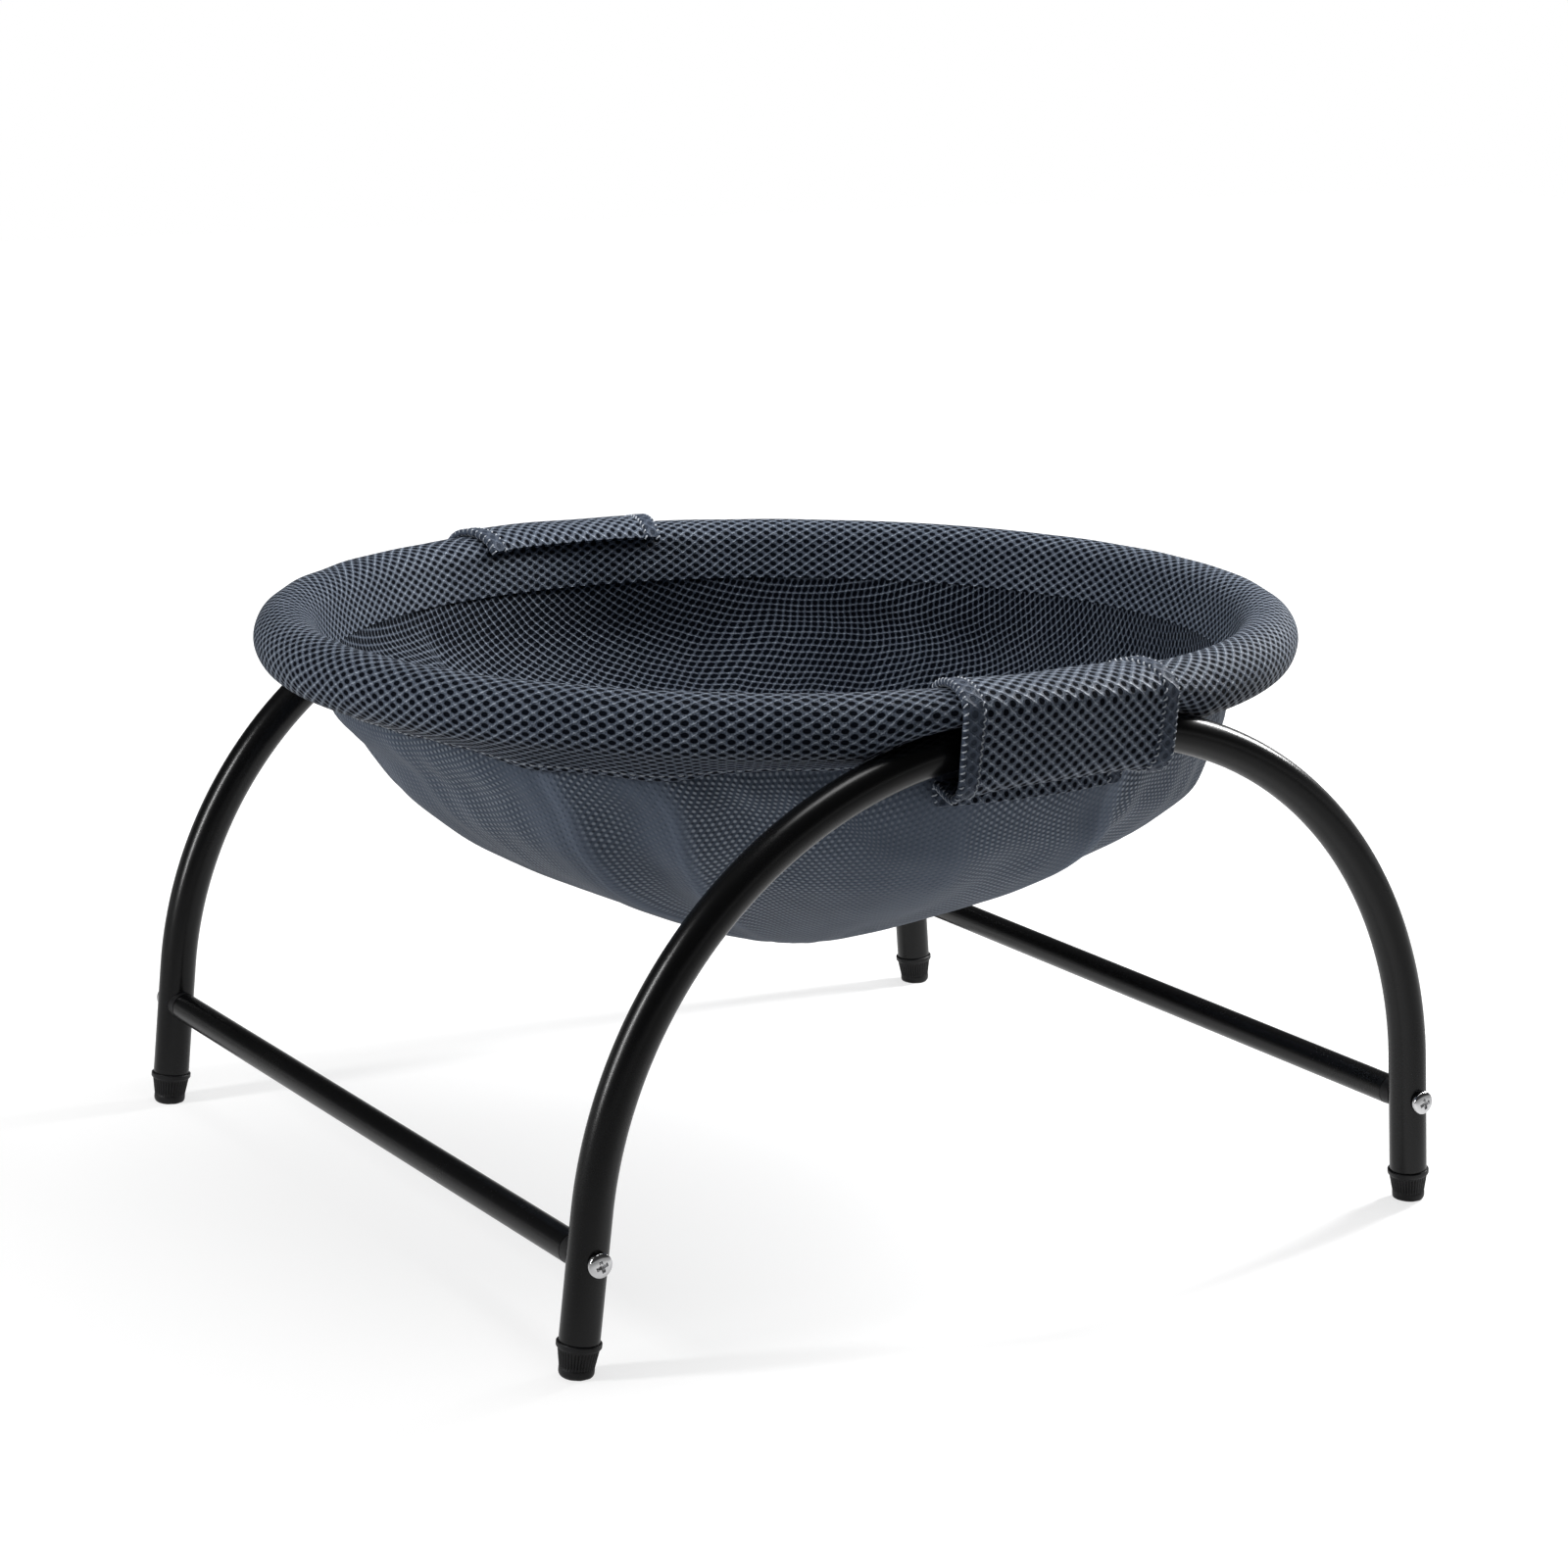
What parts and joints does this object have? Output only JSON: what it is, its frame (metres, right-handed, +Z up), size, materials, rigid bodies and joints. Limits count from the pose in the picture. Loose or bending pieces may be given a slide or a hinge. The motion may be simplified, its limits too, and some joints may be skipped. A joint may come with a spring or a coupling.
{
  "type": "elevated pet cot",
  "caption": "Round mesh-cloth hammock bed with a padded rim, strapped to the crowns of bent tube arches that low cross bars join.",
  "frame": {"origin": "on the floor, under the middle of the bed", "axes": "+X along the span of the arches, towards the cot's right seen from the front; +Y from the front arch to the rear arch, along the cross bars; +Z up"},
  "size_m": [0.4578, 0.429, 0.2525],
  "materials": {
    "black_paint": "satin black powder coat on steel tube",
    "black_plastic": "moulded black plastic, slightly rough",
    "bolt_chrome": "bright nickel or chrome plate",
    "insert_brass": "turned brass",
    "hoop_steel": "plain drawn steel rod",
    "rim_foam": "open-cell foam, matte",
    "mesh_cloth": "slate grey spacer mesh with hexagonal holes over a dark navy backing",
    "bed_cloth": "slate grey knitted cloth with a fine dotted face",
    "fastening_tape": "woven hook-and-loop tape, dark navy"
  },
  "bodies": {
    "cot": {"front_arch_tube": "black_paint", "rear_arch_tube": "black_paint", "left_cross_bar": "black_paint", "right_cross_bar": "black_paint", "front_left_foot_plug": "black_plastic", "front_right_foot_plug": "black_plastic", "rear_left_foot_plug": "black_plastic", "rear_right_foot_plug": "black_plastic", "front_left_saddle_plug": "black_plastic", "front_right_saddle_plug": "black_plastic", "rear_left_saddle_plug": "black_plastic", "rear_right_saddle_plug": "black_plastic", "front_left_bolt": "bolt_chrome", "front_right_bolt": "bolt_chrome", "rear_left_bolt": "bolt_chrome", "rear_right_bolt": "bolt_chrome", "front_left_threaded_insert": "insert_brass", "front_right_threaded_insert": "insert_brass", "rear_left_threaded_insert": "insert_brass", "rear_right_threaded_insert": "insert_brass", "hoop_rod_1": "hoop_steel", "hoop_rod_2": "hoop_steel", "hoop_rod_3": "hoop_steel", "hoop_rod_4": "hoop_steel", "rim_foam": "rim_foam", "rim_cover": "mesh_cloth", "bed_bowl": "bed_cloth", "front_flap": "mesh_cloth", "rear_flap": "mesh_cloth", "front_loop_strip": "fastening_tape", "rear_loop_strip": "fastening_tape"},
    "front_free_end": {"front_flap_tail": "mesh_cloth", "front_hook_strip": "fastening_tape"},
    "rear_free_end": {"rear_flap_tail": "mesh_cloth", "rear_hook_strip": "fastening_tape"}
  },
  "joints": [
    {"name": "front_strap_opening", "type": "hinge", "parent": "cot", "child": "front_free_end", "pos_m": [0, -0.2002, 0.2178], "axis": [-1, 0, 0], "range_deg": [0, 110]},
    {"name": "rear_strap_opening", "type": "hinge", "parent": "cot", "child": "rear_free_end", "pos_m": [0, 0.2002, 0.2178], "axis": [1, 0, 0], "range_deg": [0, 110]}
  ]
}
